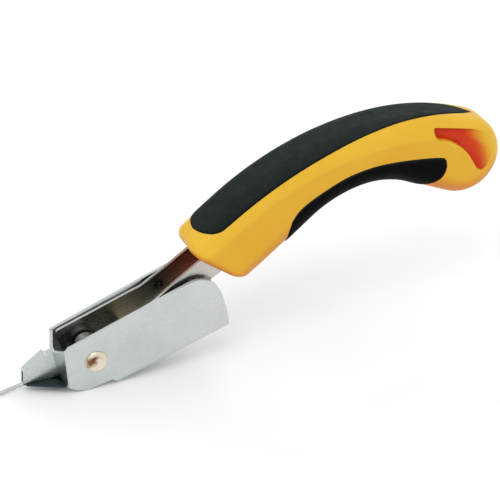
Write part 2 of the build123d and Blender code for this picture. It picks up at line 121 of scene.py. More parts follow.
def make_piece(name, points, faces, material, body, sharp=35, stands_for=(), attributes=()):
    """A mesh piece from side-frame points, with its normals outward, riding on a body."""
    mesh = bpy.data.meshes.new(name)
    mesh.from_pydata([tuple(p) for p in to_row(points)], [], [tuple(int(i) for i in f) for f in faces])
    for label, values in attributes:
        layer = mesh.attributes.new(label, "FLOAT", "POINT")
        layer.data.foreach_set("value", np.asarray(values, np.float32))
    bm = bmesh.new()
    bm.from_mesh(mesh)
    bmesh.ops.remove_doubles(bm, verts=bm.verts, dist=MERGE)
    bmesh.ops.dissolve_degenerate(bm, edges=bm.edges, dist=SLIVER_LENGTH)
    crowded = [e for e in bm.edges if len(e.link_faces) > 2]
    doubled = {f for e in crowded for f in e.link_faces if f.calc_area() < SLIVER_AREA}
    bmesh.ops.delete(bm, geom=list(doubled), context="FACES")
    open_edges = [e for e in bm.edges if len(e.link_faces) == 1]
    bmesh.ops.holes_fill(bm, edges=open_edges, sides=LARGEST_GAP_SIDES)
    bmesh.ops.recalc_face_normals(bm, faces=bm.faces)
    bm.to_mesh(mesh)
    bm.free()
    mesh.polygons.foreach_set("use_smooth", [True] * len(mesh.polygons))
    if sharp:
        mesh.set_sharp_from_angle(angle=math.radians(sharp))
    mesh.materials.append(material)
    piece = add_object(name, mesh)
    if body:
        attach(piece, body)
    if stands_for:
        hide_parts(*stands_for)
    return piece


def grid_faces(rows, columns, closed=False, start=0):
    """Quads of a grid of vertices stored row by row."""
    out = []
    for i in range(rows - 1):
        for j in range(columns if closed else columns - 1):
            k = (j + 1) % columns
            a = start + i * columns
            out.append((a + j, a + k, a + columns + k, a + columns + j))
    return out


def smooth_step(low, high, value):
    t = np.clip((np.asarray(value, float) - low) / (high - low), 0, 1)
    return t * t * (3 - 2 * t)


def resample(points, count, spacing=None):
    """Points at even steps, or at given shares, of the length of a polyline."""
    p = np.asarray(points, float)
    run = np.concatenate([[0], np.cumsum(np.linalg.norm(np.diff(p, axis=0), axis=1))])
    share = np.linspace(0, 1, count) if spacing is None else np.asarray(spacing, float)
    return np.stack([np.interp(share * run[-1], run, p[:, k]) for k in range(p.shape[1])], 1)


STEPS_PER_SPAN = 24


def through(points, count):
    """A smooth curve through points (Catmull-Rom), as a polyline of even steps."""
    p = [np.asarray(q, float) for q in points]
    p = [2 * p[0] - p[1]] + p + [2 * p[-1] - p[-2]]
    out = []
    for a, b, c, d in zip(p, p[1:], p[2:], p[3:]):
        for t in np.linspace(0, 1, STEPS_PER_SPAN, endpoint=False):
            out.append(0.5 * (2 * b + (c - a) * t + (2 * a - 5 * b + 4 * c - d) * t ** 2
                              + (3 * b - a - 3 * c + d) * t ** 3))
    out.append(p[-2])
    return resample(out, count)


# ================= Handle skin =================
ARC_POINTS = 400
RAIL_POINTS = 2500


def arc_chain(corners, slope):
    """Dense points along tangent arcs through the corners, one list for each arc."""
    heading = math.radians(slope)
    arcs = []
    for a, b in zip(corners, corners[1:]):
        chord = math.atan2(b[1] - a[1], b[0] - a[0])
        half_turn = (chord - heading + math.pi) % (2 * math.pi) - math.pi
        length = math.dist(a, b)
        t = np.linspace(0, 1, ARC_POINTS)
        if abs(half_turn) < 1e-6:
            reach = length * t
        else:
            reach = length * np.sin(half_turn * t) / math.sin(half_turn)
        arcs.append(np.stack([a[0] + reach * np.cos(heading + half_turn * t),
                              a[1] + reach * np.sin(heading + half_turn * t)], 1))
        heading += 2 * half_turn
    return arcs


front_line = (FRONT_TO - FRONT_FROM) / np.linalg.norm(FRONT_TO - FRONT_FROM)
front_normal = np.array((-front_line[1], front_line[0]))          # rearwards
outline_arcs = arc_chain(OUTLINE, TOP_LINE_SLOPE)
bulb_middle = len(outline_arcs[BULB_ARC]) // 2


AHEAD = 4.0                              # the rails start this far ahead of the front
SQUARE_FADE = 26.0                       # behind the front the sections turn square to the rails


def behind_front(points):
    """The part of a line from a little ahead of the handle's front on, and where the front is."""
    depth = (points - FRONT_FROM) @ front_normal
    run = np.concatenate([[0], np.cumsum(np.linalg.norm(np.diff(points, axis=0), axis=1))])
    first = int(np.argmax(depth > 0))
    share = -depth[first - 1] / (depth[first] - depth[first - 1])
    front_run = run[first - 1] + (run[first] - run[first - 1]) * share
    start = front_run - AHEAD
    even = np.linspace(start, run[-1], RAIL_POINTS)
    return np.stack([np.interp(even, run, points[:, k]) for k in range(2)], 1)


bulb_arc = outline_arcs[BULB_ARC]
top_rail = behind_front(np.vstack(outline_arcs[:BULB_ARC] + [bulb_arc[:bulb_middle + 1]]))
low_rail = behind_front(np.vstack([bulb_arc[bulb_middle:]] + outline_arcs[BULB_ARC + 1:])[::-1])


def rail_normals(rail, sign):
    step = np.gradient(rail, axis=0)
    step /= np.linalg.norm(step, axis=1)[:, None]
    return np.stack([step[:, 1] * sign, -step[:, 0] * sign], 1)


top_inward = rail_normals(top_rail, 1)
low_inward = rail_normals(low_rail, -1)
TOP_LENGTH = float(np.linalg.norm(np.diff(top_rail, axis=0), axis=1).sum()) - AHEAD
LOW_LENGTH = float(np.linalg.norm(np.diff(low_rail, axis=0), axis=1).sum()) - AHEAD


def front_lean(rail, normals, length):
    """How far a rail has to step forward per mm of depth for the front to be flat."""
    front = int(round(AHEAD / (length + AHEAD) * (len(rail) - 1)))
    ahead = rail[front + 1] - rail[front]
    ahead /= np.linalg.norm(ahead)
    return float(normals[front] @ front_normal) / float(ahead @ front_normal)


TOP_LEAN = front_lean(top_rail, top_inward, TOP_LENGTH)
LOW_LEAN = front_lean(low_rail, low_inward, LOW_LENGTH)


def on_rail(rail, normals, length, share, back):
    """A rail's point and inward normal; back is how far, in mm, the point slips forward."""
    run = np.clip(share, 0, 1) * length + AHEAD - back
    at = np.clip(run / (length + AHEAD), 0, 1) * (len(rail) - 1)
    whole = np.arange(len(rail))
    point = np.stack([np.interp(at, whole, rail[:, k]) for k in range(2)], -1)
    inward = np.stack([np.interp(at, whole, normals[:, k]) for k in range(2)], -1)
    return point, inward / np.linalg.norm(inward, axis=-1, keepdims=True)


def skin(s, w):
    """The handle's skin on the +y side. s is mm behind the front along the top line, and w goes
    round: 0 top middle, 1 start of the upper rounding, 2 and 3 edges of the flank, 4 end of the
    lower rounding, 5 bottom middle."""
    s, w = np.broadcast_arrays(np.asarray(s, float), np.asarray(w, float))
    turn_top = np.clip(w - 1, 0, 1) * math.pi / 2
    turn_low = np.clip(4 - w, 0, 1) * math.pi / 2
    square = 1 - smooth_step(0, SQUARE_FADE, s)
    top, top_n = on_rail(top_rail, top_inward, TOP_LENGTH, s / TOP_LENGTH,
                         TOP_LEAN * EDGE_RADIUS * (1 - np.cos(turn_top)) * square)
    low, low_n = on_rail(low_rail, low_inward, LOW_LENGTH, s / TOP_LENGTH,
                         LOW_LEAN * EDGE_RADIUS * (1 - np.cos(turn_low)) * square)
    inner_top = top + top_n * (EDGE_RADIUS * (1 - np.cos(turn_top)))[..., None]
    inner_low = low + low_n * (EDGE_RADIUS * (1 - np.cos(turn_low)))[..., None]
    share = np.clip(w - 2, 0, 1)[..., None]
    side = inner_top * (1 - share) + inner_low * share
    across = np.where(w <= 1, BAND * w,
                      np.where(w <= 2, BAND + EDGE_RADIUS * np.sin(turn_top),
                               np.where(w <= 3, HALF_WIDTH,
                                        np.where(w <= 4, BAND + EDGE_RADIUS * np.sin(turn_low),
                                                 BAND * (5 - w)))))
    return np.stack([side[..., 0], across, side[..., 1]], -1)


def skin_normal(s, w):
    """Outward normal of the skin, by differences."""
    step_s, step_w = 0.05, 0.004
    s, w = np.broadcast_arrays(np.asarray(s, float), np.asarray(w, float))
    along = skin(np.minimum(s + step_s, TOP_LENGTH), w) - skin(np.maximum(s - step_s, 0), w)
    round_ = skin(s, np.minimum(w + step_w, 5)) - skin(s, np.maximum(w - step_w, 0))
    n = np.cross(along, round_)
    n /= np.maximum(np.linalg.norm(n, axis=-1, keepdims=True), 1e-12)
    return n


dense_s = np.linspace(0, TOP_LENGTH, 700)
dense_w = np.linspace(0, 5, 301)
dense_grid = skin(dense_s[:, None], dense_w[None, :])


def locate(target, axes, w_low=0.0, w_high=5.0):
    """(s, w) of the skin's point whose coordinates on two axes are the target's."""
    use = (dense_w >= w_low) & (dense_w <= w_high)
    gap = dense_grid[:, use][..., axes] - np.asarray(target, float)
    i, j = np.unravel_index(int(np.argmin((gap ** 2).sum(-1))), gap.shape[:2])
    best = np.array((dense_s[i], dense_w[use][j]))
    step_s, step_w, rounds = 0.05, 0.002, 6
    for _ in range(rounds):
        here = skin(*best)[list(axes)]
        off = np.asarray(target, float) - here
        d_s = (skin(min(best[0] + step_s, TOP_LENGTH), best[1])[list(axes)] - here) / step_s
        d_w = (skin(best[0], best[1] + step_w)[list(axes)] - here) / step_w
        jac = np.stack([d_s, d_w], 1)
        step = np.linalg.solve(jac.T @ jac + np.diag((1e-6, 1e-3)), jac.T @ off)
        best = best + np.clip(step, (-0.4, -0.03), (0.4, 0.03))
        best[0] = min(max(best[0], 0.0), TOP_LENGTH)
        best[1] = min(max(best[1], w_low), w_high)
    return best


def on_skin(points, count, axes, w_low, w_high):
    """(s, w) of even steps along a smooth curve through points given on two axes."""
    return np.array([locate(p, axes, w_low, w_high) for p in through(points, count)])


# ---- Heights seen from the side, for the recess and the screw holes ----
rim_line = np.vstack([top_rail[::6], low_rail[::-6]])


def skin_height(points):
    """Distance of the flank's skin from the mid-plane at points of the side view."""
    p = np.asarray(points, float).reshape(-1, 2)
    inward = np.array([np.sqrt(((rim_line - q) ** 2).sum(1).min()) for q in p])
    rest = np.clip(EDGE_RADIUS - inward, 0, EDGE_RADIUS)
    return BAND + np.sqrt(np.maximum(EDGE_RADIUS ** 2 - rest ** 2, 0))


def inside(points, loop):
    """Which points lie inside a closed loop, by crossings."""
    p = np.asarray(points, float).reshape(-1, 2)
    a = np.asarray(loop, float)
    b = np.roll(a, -1, axis=0)
    hit = np.zeros(len(p), bool)
    for (x0, y0), (x1, y1) in zip(a, b):
        if y0 == y1:
            continue
        crosses = (y0 > p[:, 1]) != (y1 > p[:, 1])
        hit ^= crosses & (p[:, 0] < (x1 - x0) * (p[:, 1] - y0) / (y1 - y0) + x0)
    return hit


def loop_distance(points, loop):
    """Distance of points from a closed loop, positive inside it."""
    p = np.asarray(points, float).reshape(-1, 2)
    a = np.asarray(loop, float)
    edge = np.roll(a, -1, axis=0) - a
    size = np.maximum((edge ** 2).sum(1), 1e-12)
    out = np.empty(len(p))
    for k, q in enumerate(p):
        t = np.clip(((q - a) * edge).sum(1) / size, 0, 1)
        out[k] = np.sqrt((((a + edge * t[:, None]) - q) ** 2).sum(1).min())
    return np.where(inside(p, a), out, -out)


def moved_loop(loop, amount):
    """A closed counter-clockwise loop moved inwards by an amount."""
    a = np.asarray(loop, float)
    d = np.roll(a, -1, axis=0) - np.roll(a, 1, axis=0)
    d /= np.linalg.norm(d, axis=1)[:, None]
    return a + np.stack([-d[:, 1], d[:, 0]], 1) * amount


RECESS_DEPTH = 2.8
RECESS_START_X = 136.5
RECESS_RISE = 0.152
RECESS_LIP = 0.8                         # least depth at the rounded edge, as a share of the middle's
recess_lower = through([(135.9, 18.5), (139.4, 16.0), (142.4, 12.2), (144.6, 7.6), (146.2, 0.4)], 60)
recess_upper = through([(150.4, -0.2), (154.2, 4.8), (153.6, 10.6), (149.8, 14.8), (143.5, 18.9),
                        (136.0, 23.2)], 60)
recess_tip = through([recess_lower[-1], (148.0, -1.0), recess_upper[0]], 14)
recess_start = through([recess_upper[-1], (135.2, 22.5), (135.2, 19.8), recess_lower[0]], 14)
recess_loop = np.vstack([recess_lower, recess_tip[1:-1], recess_upper, recess_start[1:-1]])
recess_loop = resample(np.vstack([recess_loop, recess_loop[:1]]), 221)[:-1]


def recess_drop(points):
    """How far the recess lies below the skin, and how much painted red bounce light it gets (more where it is
    deeper), at points of the side view.
    """
    p = np.asarray(points, float).reshape(-1, 2)
    within = loop_distance(p, recess_loop)
    skin_y = skin_height(p)
    floor_y = HALF_WIDTH - RECESS_DEPTH + RECESS_RISE * (p[:, 0] - RECESS_START_X)
    least = RECESS_LIP * (RECESS_DEPTH - RECESS_RISE * (p[:, 0] - RECESS_START_X))
    full = np.maximum(np.maximum(skin_y - floor_y, least), 0)
    drop = full * smooth_step(-0.18, 0.42, within)
    return drop, smooth_step(0.02, 0.3, within) * smooth_step(0.12, 1.15, full)


BORE_RADIUS = 2.35
BORE_DEPTH = 2.0


def bore_drop(points, centre):
    p = np.asarray(points, float).reshape(-1, 2)
    within = BORE_RADIUS - np.linalg.norm(p - np.asarray(centre), axis=1)
    return BORE_DEPTH * smooth_step(-0.15, 0.1, within)


def circle_loop(centre, radius, count=48):
    a = np.linspace(0, 2 * math.pi, count, endpoint=False)
    return np.stack([centre[0] + radius * np.cos(a), centre[1] + radius * np.sin(a)], 1)


def chained(edges):
    """Closed loops of vertex numbers from unordered edges."""
    links = {}
    for a, b in edges:
        links.setdefault(a, []).append(b)
        links.setdefault(b, []).append(a)
    left = set(links)
    loops = []
    while left:
        loop = [left.pop()]
        while True:
            onward = [v for v in links[loop[-1]] if v in left]
            if not onward:
                break
            loop.append(onward[0])
            left.discard(onward[0])
        loops.append(loop)
    return loops


# ---- One half of the handle ----
CORNER_ROUND = 5.6
FLANK_ROUND = 3.0
LOW_ROUND = 4.8
OPENING_HALF = 5.75
OPENING_FROM = 15.1                     # along the front line, from its upper end
OPENING_TO = 24.95
OPENING_DEPTH = 26.0
PARTING_GAP = 0.03
SEAM_DEPTH = 0.14
LIP = 0.5                               # rounded rim of the opening
MOUTH_DEPTHS = (4.0, 10.0, 18.0, OPENING_DEPTH)
TANG_TOP_SLOPE = 0.2951
TANG_FLOOR_SLOPE = 0.2458
FRONT_STEPS = 10
BLEND_ROWS = 5
BODY_STEPS = 190
WINDOW_FROM_X = 131                     # where the recess's window of triangles may start and end
WINDOW_TO_X = 159
WINDOW_MARGIN = 1.7
BORE_MARGIN = 1.3
FREE_STEP = 0.75                        # spacing of the loose points inside the recess

ring_w = np.unique(np.round(np.concatenate([
    [0.0, 0.035, 0.075, 0.35, 0.7], np.linspace(1, 2, 15), [1.5], np.linspace(2, 3, 27),
    np.linspace(3, 4, 15), [3.5], [4.3, 4.65, 4.925, 4.965, 5.0]]), 5))
seam_inset = np.interp(np.minimum(ring_w, 5 - ring_w), [0.0, 0.035, 0.075], [SEAM_DEPTH, 0.03, 0.0])
front_radius = (FLANK_ROUND + (CORNER_ROUND - FLANK_ROUND) * (1 - smooth_step(0.8, 2.1, ring_w))
                + (LOW_ROUND - FLANK_ROUND) * smooth_step(2.9, 4.2, ring_w))


def half_handle(with_bores):
    """Points, faces and the mask of painted red bounce light in the recess, of the half on the +y side."""
    columns = len(ring_w)
    rows = []
    # front rounding, from the front face (0) to the skin (90 degrees)
    for phi in np.radians(np.linspace(0, 90, FRONT_STEPS)):
        s = front_radius * (1 - math.cos(phi))
        drop = front_radius * (1 - math.sin(phi))
        normal = skin_normal(s + 0.06, ring_w)
        flat = np.stack([-(normal[:, [0, 2]] @ front_line), -normal[:, 1]], 1)
        flat /= np.maximum(np.linalg.norm(flat, axis=1, keepdims=True), 1e-9)
        inward = np.stack([flat[:, 0] * front_line[0], flat[:, 1], flat[:, 0] * front_line[1]], 1)
        rows.append(skin(s, ring_w) + inward * drop[:, None] - normal * seam_inset[:, None])
    start = float(front_radius.max())
    for k in range(1, BLEND_ROWS):
        s = front_radius + (start + 1.0 - front_radius) * k / BLEND_ROWS
        rows.append(skin(s, ring_w) - skin_normal(s, ring_w) * seam_inset[:, None])
    for s in np.linspace(start + 1.0, TOP_LENGTH, BODY_STEPS)[:-1]:
        rows.append(skin(s, ring_w) - skin_normal(s, ring_w) * seam_inset[:, None])
    # the last row lies where the top and the bottom meet, so its two halves are one
    last = skin(TOP_LENGTH, ring_w)
    rows.append((last + last[::-1]) / 2)
    body_rows = len(rows)
    last_start = (body_rows - 1) * columns
    points = np.vstack(rows)
    faces = [tuple(2 * last_start + columns - 1 - v if v > last_start + columns // 2 else v for v in face)
             for face in grid_faces(body_rows, columns)]

    # front face, lip and walls of the opening for the tang
    corner_a, corner_b = 1.5, 3.5
    along = np.interp(ring_w, [0, corner_a, corner_b, 5],
                      [OPENING_FROM, OPENING_FROM, OPENING_TO, OPENING_TO])
    across = np.interp(ring_w, [0, corner_a, corner_b, 5], [0, OPENING_HALF, OPENING_HALF, 0])
    on_front = FRONT_FROM + front_line * along[:, None]
    rim = np.stack([on_front[:, 0], across, on_front[:, 1]], 1)
    centre = FRONT_FROM + front_line * (OPENING_FROM + OPENING_TO) / 2
    middle = np.array((centre[0], 0, centre[1]))
    outward = rim - middle
    outward[:, 1] = np.where(ring_w * (5 - ring_w) < 1e-9, 0, outward[:, 1])
    outward /= np.linalg.norm(outward, axis=1)[:, None]
    rear = np.stack([np.full(columns, 1.0), np.zeros(columns),
                     np.interp(along, [OPENING_FROM, OPENING_TO], [TANG_TOP_SLOPE, TANG_FLOOR_SLOPE])], 1)
    mouth = [rows[0] * (1 - t) + (rim + outward * LIP) * t for t in (0.25, 0.5, 0.75, 1.0)]
    mouth.append(rim + outward * LIP * 0.3 + rear * LIP * 0.3)
    mouth.append(rim + rear * LIP)
    mouth += [rim + rear * depth for depth in MOUTH_DEPTHS]
    first = len(points)
    points = np.vstack([points] + mouth)
    ring0 = list(range(columns))
    starts = [first + k * columns for k in range(len(mouth))]
    loops = [ring0] + [list(range(start, start + columns)) for start in starts]
    for a, b in zip(loops, loops[1:]):
        faces += [(a[j], b[j], b[j + 1], a[j + 1]) for j in range(columns - 1)]
    faces.append(tuple(loops[-1]))                      # closed end of the opening

    # flat parting face: crown line, front face and opening, then back along the bottom line
    upper = [i * columns for i in range(body_rows)][::-1]
    upper_mouth = [loop[0] for loop in loops[1:]]
    low_mouth = [loop[-1] for loop in loops[1:]][::-1]
    lower = [i * columns + columns - 1 for i in range(body_rows - 1)]
    parting = upper + upper_mouth + low_mouth + lower
    for index in parting:
        points[index][1] = PARTING_GAP
    faces.append(tuple(parting))

    # windows of triangles for the recess and the screw holes
    side = points[:, [0, 2]]
    centres = SCREWS_AT if with_bores else []
    count = len(grid_faces(body_rows, columns))
    quads = np.array(faces[:count])
    mid = side[quads].mean(1)
    column_of = quads[:, 0] % columns
    on_flank = (ring_w[column_of] > 1.15) & (ring_w[column_of] < 3.8)
    near = np.zeros(count, bool)
    box = on_flank & (mid[:, 0] > WINDOW_FROM_X) & (mid[:, 0] < WINDOW_TO_X)
    near[box] = loop_distance(mid[box], recess_loop) > -WINDOW_MARGIN
    for centre in centres:
        away = np.linalg.norm(mid - np.asarray(centre), axis=1)
        near |= on_flank & (away < BORE_RADIUS + BORE_MARGIN)
    gone = quads[near]
    edges = {}
    for a, b, c, d in gone:
        for edge in ((a, b), (b, c), (c, d), (d, a)):
            key = (min(edge), max(edge))
            edges[key] = edges.get(key, 0) + 1
    rim_edges = [key for key, uses in edges.items() if uses == 1]
    rim_verts = sorted({v for edge in rim_edges for v in edge})
    inner_verts = sorted({int(v) for quad in gone for v in quad} - set(rim_verts))
    coords = [tuple(side[v]) for v in rim_verts]
    known = {k: v for k, v in enumerate(rim_verts)}
    place = {v: k for k, v in enumerate(rim_verts)}
    constraints = [(place[a], place[b]) for a, b in rim_edges]
    loops2d = [moved_loop(recess_loop, offset) for offset in (-0.3, -0.1, 0.05, 0.2, 0.42)]
    for centre in centres:
        loops2d += [circle_loop(centre, BORE_RADIUS + offset) for offset in (0.3, 0.12, 0.0, -0.12)]
    for loop in loops2d:
        base = len(coords)
        coords += [tuple(q) for q in loop]
        constraints += [(base + k, base + (k + 1) % len(loop)) for k in range(len(loop))]
    free = [side[v] for v in inner_verts]
    span_x = np.arange(134.5, 156.5, FREE_STEP)
    span_z = np.arange(-2.0, 24.5, FREE_STEP)
    free += [np.array((x, z)) for x in span_x for z in span_z]
    free = np.array(free)
    away = np.abs(loop_distance(free, recess_loop) - 0.06) > 0.62
    for centre in centres:
        ring_gap = np.linalg.norm(free - np.asarray(centre), axis=1) - BORE_RADIUS
        away &= (ring_gap > 0.6) | (ring_gap < -0.5)
    grid_part = np.arange(len(free)) < len(inner_verts)
    in_recess = loop_distance(free, recess_loop) > 0
    keep = away & (grid_part ^ in_recess)
    coords += [tuple(q) for q in free[keep]]
    result = delaunay_2d_cdt([Vector(c) for c in coords], constraints, [], 0, 1e-5)
    new_xy = np.array([tuple(v) for v in result[0]])
    origin = [next((known[o] for o in group if o in known), None) for group in result[3]]
    drop, red = recess_drop(new_xy)
    height = skin_height(new_xy) - drop
    for centre in centres:
        height = height - bore_drop(new_xy, centre)
    index = []
    mask = [0.0] * len(points)
    extra = []
    for k, known_vert in enumerate(origin):
        if known_vert is None:
            index.append(len(points) + len(extra))
            extra.append((new_xy[k][0], height[k], new_xy[k][1]))
            mask.append(float(red[k]))
        else:
            index.append(known_vert)
    triangles = [tuple(face) for face in result[2]]
    tri_mid = np.array([new_xy[list(t)].mean(0) for t in triangles])
    inside_gone = np.zeros(len(triangles), bool)
    for window in chained(rim_edges):
        inside_gone ^= inside(tri_mid, side[window])
    faces = [f for k, f in enumerate(faces) if k >= count or not near[k]]
    faces += [tuple(index[v] for v in t) for t, ok in zip(triangles, inside_gone) if ok]
    return np.vstack([points, np.array(extra)]), faces, mask


def place_half(name, side, with_bores, material):
    points, faces, mask = half_handle(with_bores)
    points = points * np.array((1, side, 1))
    make_piece(name + "_skin", points, faces, material, "lever", sharp=38,
               stands_for=(name,), attributes=[("recess", mask)])


# ---- Soft grips ----
def coons(front, rear, inner, outer, shares_a, shares_b):
    """(s, w) points of a four-sided patch; a runs from front to rear, b from inner to outer."""
    inner_p = resample(inner, None, shares_a)
    outer_p = resample(outer, None, shares_a)
    front_p = resample(front, None, shares_b)
    rear_p = resample(rear, None, shares_b)
    a = np.asarray(shares_a)[:, None, None]
    b = np.asarray(shares_b)[None, :, None]
    corners = ((1 - a) * (1 - b) * inner_p[0] + a * (1 - b) * inner_p[-1]
               + (1 - a) * b * outer_p[0] + a * b * outer_p[-1])
    return ((1 - b) * inner_p[:, None] + b * outer_p[:, None]
            + (1 - a) * front_p[None] + a * rear_p[None] - corners)


GRIP_PROUD = 0.35
GRIP_SUNK = 0.7
GRIP_EDGE_START = -0.45
GRIP_EDGE_WIDTH = 0.9
BORDER_POINTS = 2400


def edge_height(distance):
    """Rounded edge of a grip: height over the skin at a distance from its outline."""
    t = np.clip(np.asarray(distance, float) / GRIP_EDGE_WIDTH, 0, 1)
    return GRIP_EDGE_START + (GRIP_PROUD - GRIP_EDGE_START) * np.sqrt(1 - (1 - t) ** 2)


def grip(name, patch, distance, material):
    """A closed grip from the (s, w) points of its half patch, mirrored over the mid-plane."""
    rows, columns = patch.shape[:2]
    s, w = patch[..., 0], patch[..., 1]
    normal = skin_normal(np.maximum(s, 0.1), w)
    surface = skin(s, w)
    outer = surface + normal * edge_height(distance)[..., None]
    under = surface - normal * GRIP_SUNK
    mirror = np.array((1, -1, 1))
    points, faces = [], []
    for layer in (outer, under):
        full = np.concatenate([layer[:, ::-1] * mirror, layer[:, 1:]], axis=1)
        full[:, columns - 1, 1] = 0
        faces += grid_faces(rows, 2 * columns - 1, start=len(points) and len(points[0]))
        points.append(full.reshape(-1, 3))
    wide = 2 * columns - 1
    count = rows * wide
    border = ([j for j in range(wide)] + [i * wide + wide - 1 for i in range(1, rows)]
              + [(rows - 1) * wide + j for j in range(wide - 2, -1, -1)]
              + [i * wide for i in range(rows - 2, 0, -1)])
    for a, b in zip(border, border[1:] + border[:1]):
        faces.append((a, b, b + count, a + count))
    return make_piece(name + "_rubber", np.vstack(points), faces, material, "lever", sharp=60,
                      stands_for=(name,))


def edge_shares(count, near_start, near_end, length):
    """Shares of a length in mm, closer together next to rounded ends."""
    fine = [0, 0.04, 0.12, 0.25, 0.42, 0.65, 0.95]
    start = np.array(fine) / length if near_start else np.array([0.0])
    end = 1 - np.array(fine[::-1]) / length if near_end else np.array([1.0])
    inner = np.linspace(start[-1], end[0], count)[1:-1]
    return np.concatenate([start, inner, end])


def edge_distance(patch, border):
    """Distance in mm of a patch's points from its outline, over the skin."""
    surface = skin(patch[..., 0], patch[..., 1])
    line = resample(skin(border[:, 0], border[:, 1]), BORDER_POINTS)
    return np.array([[np.sqrt(((line - p) ** 2).sum(1).min()) for p in row] for row in surface])


# ================= Materials =================
def new_material(name, colour, roughness, metallic=0.0, **sockets):
    material = bpy.data.materials.new(name)
    material.use_nodes = True
    tree = material.node_tree
    shader = tree.nodes["Principled BSDF"]
    shader.inputs["Base Color"].default_value = (*colour, 1)
    shader.inputs["Roughness"].default_value = roughness
    shader.inputs["Metallic"].default_value = metallic
    for label, value in sockets.items():
        shader.inputs[label.replace("_", " ")].default_value = value
    return material, tree, shader


def node(tree, kind, inputs=None, **settings):
    made = tree.nodes.new(kind)
    for key, value in settings.items():
        setattr(made, key, value)
    for key, value in (inputs or {}).items():
        if isinstance(value, bpy.types.NodeSocket):
            tree.links.new(value, made.inputs[key])
        else:
            made.inputs[key].default_value = value
    return made


def object_coords(tree, stretch=(1, 1, 1)):
    coords = node(tree, "ShaderNodeTexCoord")
    if stretch == (1, 1, 1):
        return coords.outputs["Object"]
    mapping = node(tree, "ShaderNodeMapping", {"Vector": coords.outputs["Object"]})
    mapping.inputs["Rotation"].default_value = (0, TILT, 0)
    mapping.inputs["Scale"].default_value = stretch
    return mapping.outputs["Vector"]


def noise(tree, size_mm, detail=3.0, stretch=(1, 1, 1), roughness=0.55):
    inputs = {"Vector": object_coords(tree, stretch), "Scale": 1 / (size_mm * MM), "Detail": detail,
              "Roughness": roughness}
    made = node(tree, "ShaderNodeTexNoise", inputs)
    return made.outputs["Fac"]


def span(tree, value, low, high, to_low=0.0, to_high=1.0):
    return node(tree, "ShaderNodeMapRange", {"Value": value, "From Min": low, "From Max": high,
                                             "To Min": to_low, "To Max": to_high}).outputs["Result"]


def mix(tree, factor, first, second, mode="MIX"):
    made = node(tree, "ShaderNodeMix", data_type="RGBA", blend_type=mode)
    for socket, value in ((made.inputs[0], factor), (made.inputs[6], first), (made.inputs[7], second)):
        if isinstance(value, bpy.types.NodeSocket):
            tree.links.new(value, socket)
        elif isinstance(value, tuple):
            socket.default_value = (*value, 1)
        else:
            socket.default_value = value
    return made.outputs[2]


def bump(tree, shader, height, depth_mm, strength=1.0, after=None):
    inputs = {"Height": height, "Distance": depth_mm * MM, "Strength": strength}
    made = node(tree, "ShaderNodeBump", inputs)
    if after is not None:
        tree.links.new(after, made.inputs["Normal"])
    tree.links.new(made.outputs["Normal"], shader.inputs["Normal"])
    return made.outputs["Normal"]


def facing(tree, axis, low, high):
    """How far the surface's own normal points along an axis of the object."""
    normal = node(tree, "ShaderNodeTexCoord").outputs["Normal"]
    parts = node(tree, "ShaderNodeSeparateXYZ", {"Vector": normal})
    return span(tree, parts.outputs[axis], low, high)


def yellow_plastic():
    material, tree, shader = new_material("moulded_yellow", (0.72, 0.43, 0.014), 0.38, Subsurface_Weight=0.1)
    shader.inputs["Specular IOR Level"].default_value = 0.18
    shader.inputs["Subsurface Radius"].default_value = (0.003, 0.0014, 0.0004)
    shader.inputs["Subsurface Scale"].default_value = 1.0
    cloudy = span(tree, noise(tree, 16.0, 2.0), 0.3, 0.7)
    base = mix(tree, cloudy, (0.7, 0.405, 0.026), (0.735, 0.445, 0.036))
    # Painted shade: the yellow turns a deeper orange-brown on faces turned downwards.
    under = facing(tree, "Z", 0.15, -0.6)
    base = mix(tree, under, base, (0.58, 0.18, 0.008))
    # Painted bounce light: the recess is painted red where it is deep, for light bounced round inside the
    # yellow pocket.
    attribute = node(tree, "ShaderNodeAttribute", attribute_name="recess")
    patches = span(tree, noise(tree, 7.0, 2.0), 0.3, 0.7)
    red = mix(tree, patches, (0.5, 0.02, 0.001), (0.58, 0.036, 0.002))
    base = mix(tree, attribute.outputs["Fac"], base, red)
    tree.links.new(base, shader.inputs["Base Color"])
    tree.links.new(span(tree, noise(tree, 5.0, 4.0), 0.25, 0.75, 0.3, 0.42), shader.inputs["Roughness"])
    first = bump(tree, shader, noise(tree, 0.45, 3.0), 0.012)
    bump(tree, shader, noise(tree, 9.0, 2.0), 0.05, 0.5, first)
    return material


def black_rubber():
    material, tree, shader = new_material("soft_black_rubber", (0.004, 0.005, 0.006), 0.62)
    shader.inputs["Specular IOR Level"].default_value = 0.04
    blotch = span(tree, noise(tree, 3.2, 5.0, roughness=0.65), 0.3, 0.7)
    shaded = mix(tree, blotch, (0.0003, 0.0006, 0.0007), (0.001, 0.0015, 0.0016))
    lit = mix(tree, blotch, (0.012, 0.0175, 0.016), (0.02, 0.027, 0.0245))
    base = mix(tree, facing(tree, "Z", 0.0, 0.9), shaded, lit)
    tree.links.new(base, shader.inputs["Base Color"])
    tree.links.new(span(tree, noise(tree, 2.2, 4.0), 0.3, 0.7, 0.47, 0.66), shader.inputs["Roughness"])
    first = bump(tree, shader, noise(tree, 0.7, 5.0, roughness=0.7), 0.09)
    bump(tree, shader, noise(tree, 5.0, 3.0), 0.22, 0.7, first)
    return material


